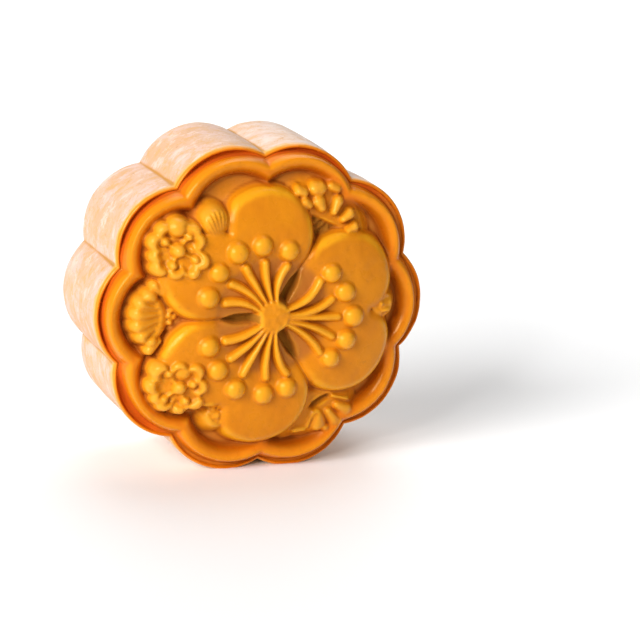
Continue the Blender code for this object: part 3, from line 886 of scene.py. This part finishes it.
class Nodes:
    """A short way to write a material's node tree."""

    def __init__(self, name):
        self.material = bpy.data.materials.new(name)
        self.material.use_nodes = True
        self.tree = self.material.node_tree
        self.shader = self.tree.nodes["Principled BSDF"]

    def add(self, kind, **settings):
        node = self.tree.nodes.new(kind)
        for key, value in settings.items():
            setattr(node, key, value)
        return node

    def put(self, socket, value):
        """Links another node's output to a socket, or sets the socket to a plain value."""
        if isinstance(value, bpy.types.NodeSocket):
            self.tree.links.new(value, socket)
        else:
            socket.default_value = value

    def attribute(self, name):
        node = self.add("ShaderNodeAttribute", attribute_type="GEOMETRY", attribute_name=name)
        return node.outputs["Fac"]

    def math(self, operation, a, b=0.0):
        node = self.add("ShaderNodeMath", operation=operation)
        self.put(node.inputs[0], a)
        self.put(node.inputs[1], b)
        return node.outputs[0]

    def times(self, a, b):
        return self.math("MULTIPLY", a, b)

    def plus(self, a, b):
        return self.math("ADD", a, b)

    def centred(self, value, swing):
        """A noise about 0 in place of 0.5, times a swing."""
        return self.times(self.math("SUBTRACT", value, 0.5), swing)

    def ramp(self, value, low, high, to_low=0.0, to_high=1.0):
        """A soft step between two values, from low to high."""
        node = self.add("ShaderNodeMapRange", interpolation_type="SMOOTHSTEP")
        for socket, v in zip(node.inputs, (value, low, high, to_low, to_high)):
            self.put(socket, v)
        return node.outputs[0]

    def noise(self, coordinates, scale, detail, roughness=0.55):
        node = self.add("ShaderNodeTexNoise")
        self.put(node.inputs["Vector"], coordinates)
        node.inputs["Scale"].default_value = scale
        node.inputs["Detail"].default_value = detail
        node.inputs["Roughness"].default_value = roughness
        return node.outputs["Fac"]

    def mix(self, share, a, b):
        node = self.add("ShaderNodeMix", data_type="RGBA")
        self.put(node.inputs[0], share)
        self.put(node.inputs[6], a)
        self.put(node.inputs[7], b)
        return node.outputs[2]


def face_colour(n, patches):
    """The glazed face, with painted shade in hollows and creases and painted highlights on edges.
    """
    ring, hollow, motif = n.attribute("ring"), n.attribute("hollow"), n.attribute("motif")
    colour = n.mix(n.ramp(patches, 0.35, 0.68), GLAZE, GLAZE_DARK)
    colour = n.mix(n.times(ring, 0.9), colour, RIDGE)
    # Painted highlight: convex edges are lightened, less so on the ridge
    painted_edge_highlight = n.times(n.ramp(hollow, -0.10, -0.42), n.ramp(ring, 0.0, 1.0, 0.9, 0.38))
    colour = n.mix(painted_edge_highlight, colour, EDGE_HIGHLIGHT)
    colour = n.mix(n.times(motif, 0.8), colour, MOTIF)
    # Painted highlight on the convex edges of the small motifs
    colour = n.mix(n.times(n.ramp(hollow, -0.1, -0.7), motif), colour, MOTIF_EDGE_HIGHLIGHT)
    # Painted shade on the petals between the stamens near the hub
    colour = n.mix(n.ramp(motif, -0.05, -0.5, 0.0, 0.8), colour, SHADE_BETWEEN_STAMENS)
    # Painted shade, more the further a place lies below its surroundings
    colour = n.mix(n.ramp(n.attribute("deep"), 0.5, 2.2), colour, RECESS_SHADE)
    # Painted shade in the hollows
    colour = n.mix(n.ramp(hollow, 0.3, 1.3, 0.0, 0.35), colour, HOLLOW_SHADE)
    # Painted shade in the creases at the feet of the forms
    colour = n.mix(n.ramp(n.attribute("crease"), 0.07, 0.32, 0.0, 0.6), colour, CREASE_SHADE)
    # Painted shade on the ridge's inner side near its foot
    colour = n.mix(n.times(n.attribute("flank"), 0.65), colour, RIDGE_FOOT_SHADE)
    # Painted shade deep in the open groove behind the ridge
    colour = n.mix(n.times(n.attribute("groove"), 0.95), colour, GROOVE_SHADE)
    # Painted shade in the slots between the petals and in the fans' pits
    return n.mix(n.times(n.attribute("slot"), 0.9), colour, SLOT_SHADE)


def wall_colour(n, place, patches, blotches, streaks):
    """The pale wall: blotches, streaks, fine veins, browned valleys, and painted sheen on top."""
    colour = n.mix(n.ramp(patches, 0.35, 0.65), WALL_PALE, WALL_TAN)
    colour = n.mix(n.ramp(blotches, 0.5, 0.62, 0.0, 0.85), colour, BLOTCH)
    colour = n.mix(n.ramp(streaks, 0.53, 0.64, 0.0, 0.85), colour, STREAK_PALE)
    colour = n.mix(n.ramp(streaks, 0.45, 0.36, 0.0, 0.8), colour, STREAK_BROWN)
    # Painted sheen, paler on the lobes at the top
    pale = n.times(n.attribute("crown"), n.ramp(streaks, 0.3, 0.6, 0.35, 0.85))
    colour = n.mix(pale, colour, CROWN_SHEEN)
    veins = n.math("ABSOLUTE", n.math("SUBTRACT", n.noise(place, 230.0, 5.0, 0.6), 0.5))
    colour = n.mix(n.ramp(veins, 0.022, 0.004, 0.0, 0.55), colour, VEIN)
    return n.mix(n.ramp(n.attribute("valley"), 0.05, 0.8), colour, VALLEY)


def base_colour(n, patches, blotches, streaks):
    """The plain base, unevenly baked."""
    colour = n.mix(n.ramp(blotches, 0.36, 0.62), BASE_DARK, BASE_BROWN)
    colour = n.mix(n.ramp(patches, 0.42, 0.62, 0.0, 0.55), colour, BASE_BURNT)
    return n.mix(n.ramp(streaks, 0.56, 0.7, 0.0, 0.5), colour, BASE_STREAK)


def crust_material():
    """Baked pastry: glossy orange glaze on the face, pale and satin on the wall, brown below."""
    n = Nodes("glazed_crust")
    place = n.add("ShaderNodeTexCoord").outputs["Object"]
    hollow, slot = n.attribute("hollow"), n.attribute("slot")
    groove, region = n.attribute("groove"), n.attribute("region")
    patches = n.noise(place, 90.0, 4.0)
    blotches = n.noise(place, 150.0, 5.0, 0.6)
    specks = n.noise(place, 900.0, 2.0)
    streak_place = n.add("ShaderNodeMapping")
    n.put(streak_place.inputs["Vector"], place)
    streak_place.inputs["Scale"].default_value = (0.6, 1.0, 0.6)
    streaks = n.noise(streak_place.outputs[0], 380.0, 6.0, 0.65)

    # The face runs over the lip and a bright edge to the wall, and the wall runs to the base
    colour = n.mix(n.ramp(region, 0.0, 0.12, 0.0, 0.7), face_colour(n, patches), LIP)
    edge = n.plus(region, n.centred(streaks, 0.7))
    colour = n.mix(n.ramp(edge, 0.32, 0.58), colour, WALL_EDGE)
    wall = wall_colour(n, place, patches, blotches, streaks)
    colour = n.mix(n.ramp(edge, 0.50, 0.84), colour, wall)
    below = n.plus(region, n.centred(streaks, 1.2))
    base = base_colour(n, patches, blotches, streaks)
    colour = n.mix(n.ramp(below, 1.2, 1.9), colour, base)
    colour = n.mix(n.ramp(specks, 0.60, 0.8, 0.0, 0.35), colour, SPECK)
    n.put(n.shader.inputs["Base Color"], colour)

    # The glaze is thin and dull on the wall, and in slots, grooves and hollows
    rough = n.ramp(region, 0.2, 1.0, 0.27, 0.55)
    rough = n.plus(rough, n.ramp(patches, 0.3, 0.7, -0.04, 0.08))
    rough = n.plus(rough, n.times(n.math("MAXIMUM", slot, groove), 0.45))
    rough = n.plus(rough, n.ramp(hollow, 0.1, 0.9, 0.0, 0.3))
    n.put(n.shader.inputs["Roughness"], rough)
    n.shader.inputs["Specular IOR Level"].default_value = 0.36
    n.shader.inputs["Specular Tint"].default_value = (1.0, 0.72, 0.34, 1)

    # Fine pores all over, and wrinkles along the wall
    pores = n.plus(n.times(n.noise(place, 1400.0, 3.0), 0.25), n.noise(place, 420.0, 3.0))
    wrinkles = n.times(streaks, n.ramp(region, 0.5, 1.0, 0.0, 1.5))
    bump = n.add("ShaderNodeBump")
    bump.inputs["Strength"].default_value = 0.55
    bump.inputs["Distance"].default_value = 0.15 * MM
    n.put(bump.inputs["Height"], n.plus(pores, wrinkles))
    n.put(n.shader.inputs["Normal"], bump.outputs[0])
    return n.material


# Suns: name, strength, angle across in degrees, and where the light goes. Soft lamps: name,
# place in metres, width and power; they point at the middle of the cake.
SUNS = (
    ("key", 3.6, 36, (0.78, 0.40, -0.45)),
    ("spark", 0.65, 7, (0.62, 0.68, -0.40)),
)
LAMPS = (
    ("back", (0.5, 1.7, 0.8), 1.8, 9.0),
    ("top", (0.25, 0.45, 1.1), 0.9, 5.0),
    ("fill", (0.55, -1.2, 0.6), 1.6, 2.6),
)
CAKE_MIDDLE = (0, 0, 0.0375)


def add_light(data, at, towards):
    """Places a light so that it shines in a direction."""
    light = bpy.data.objects.new(data.name, data)
    light.location = at
    light.rotation_euler = towards.to_track_quat("-Z", "Y").to_euler()
    bpy.context.scene.collection.objects.link(light)


def studio():
    """A pale floor that runs on far behind, and soft light, most of it from the upper left."""
    mesh = bpy.data.meshes.new("studio_floor")
    mesh.from_pydata([(-3, -3, 0), (3, -3, 0), (3, 3, 0), (-3, 3, 0)], [], [(0, 1, 2, 3)])
    floor = bpy.data.objects.new("studio_floor", mesh)
    bpy.context.scene.collection.objects.link(floor)
    paint = bpy.data.materials.new("studio_floor")
    paint.use_nodes = True
    shader = paint.node_tree.nodes["Principled BSDF"]
    shader.inputs["Base Color"].default_value = (0.97, 0.97, 0.97, 1)
    shader.inputs["Roughness"].default_value = 0.6
    mesh.materials.append(paint)

    world = bpy.data.worlds.new("studio")
    world.use_nodes = True
    world.node_tree.nodes["Background"].inputs["Color"].default_value = (1, 1, 1, 1)
    world.node_tree.nodes["Background"].inputs["Strength"].default_value = 0.14
    bpy.context.scene.world = world

    for name, strength, width, towards in SUNS:
        sun = bpy.data.lights.new(name, "SUN")
        sun.energy = strength
        sun.angle = math.radians(width)
        add_light(sun, (0, 0, 0), Vector(towards))
    for name, at, width, power in LAMPS:
        lamp = bpy.data.lights.new(name, "AREA")
        lamp.shape = "DISK"
        lamp.size = width
        lamp.energy = power
        add_light(lamp, at, Vector(CAKE_MIDDLE) - Vector(at))


def camera():
    """The photograph's view: a little above and left of the face, far off and slightly rolled."""
    unit = 35.94 * MM  # how far the wall's valleys lie from the middle
    aim = Vector((0, -0.01025, 0.03749))
    eye = aim + Vector((-6.217, -17.310, 4.710)) * unit
    back = Vector((-0.345, -0.904, 0.251)).normalized()
    up = Vector((0.057, 0.246, 0.968))
    right = up.cross(back).normalized()
    up = back.cross(right)
    turn = Matrix((right, up, back)).transposed().to_4x4()
    data = bpy.data.cameras.new("photo_view")
    data.lens = 168.75
    data.sensor_width = 36.0
    data.clip_start = 0.01
    made = bpy.data.objects.new("photo_view", data)
    made.matrix_world = Matrix.Translation(eye) @ turn
    bpy.context.scene.collection.objects.link(made)
    bpy.context.scene.camera = made


cake = make_cake()
cake.data.materials.append(crust_material())
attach(cake, "root")
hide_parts("mooncake")
studio()
camera()
bpy.context.scene.view_settings.view_transform = "Standard"
